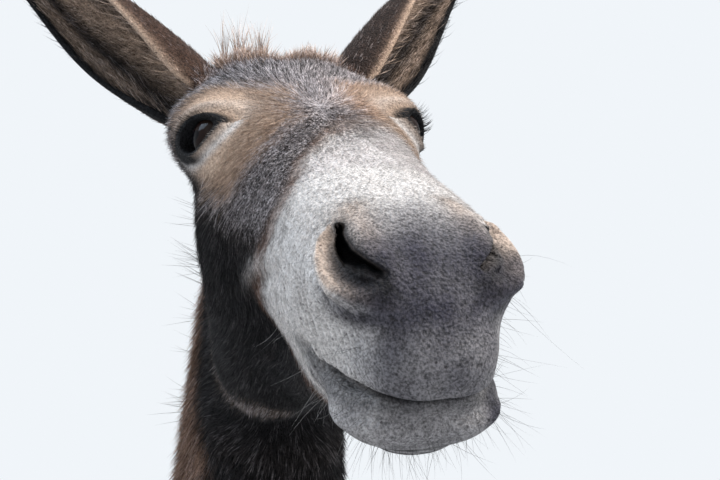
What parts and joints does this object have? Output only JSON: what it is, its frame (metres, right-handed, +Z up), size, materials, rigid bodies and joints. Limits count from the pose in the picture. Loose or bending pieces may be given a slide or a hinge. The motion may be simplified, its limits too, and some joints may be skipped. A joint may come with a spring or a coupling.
{
  "type": "donkey",
  "caption": "Life-size standing donkey, whole animal, head turned slightly to its right, long upright ears, dark shaggy coat with a pale muzzle.",
  "frame": {"origin": "on the floor under the middle of the animal's bounding box", "axes": "+Z up, -Y the way the donkey faces, +X to its left"},
  "size_m": [0.4638, 1.709, 1.686],
  "materials": {
    "coat_grey": "matte",
    "coat_dark": "matte",
    "coat_rufous": "matte",
    "horn": "satin",
    "eye": "glossy"
  },
  "bodies": {
    "root": {"ear_left": "coat_rufous", "ear_right": "coat_rufous", "eye_left": "eye", "eye_right": "eye", "forelock": "coat_rufous", "front_hoof_left": "horn", "front_hoof_right": "horn", "front_leg_left": "coat_dark", "front_leg_right": "coat_dark", "front_shank_left": "coat_dark", "front_shank_right": "coat_dark", "head": "coat_grey", "hind_hoof_left": "horn", "hind_hoof_right": "horn", "hind_leg_left": "coat_dark", "hind_leg_right": "coat_dark", "hind_shank_left": "coat_dark", "hind_shank_right": "coat_dark", "mane": "coat_rufous", "neck": "coat_dark", "tail": "coat_dark", "tail_switch": "coat_dark", "trunk": "coat_dark"}
  },
  "joints": []
}
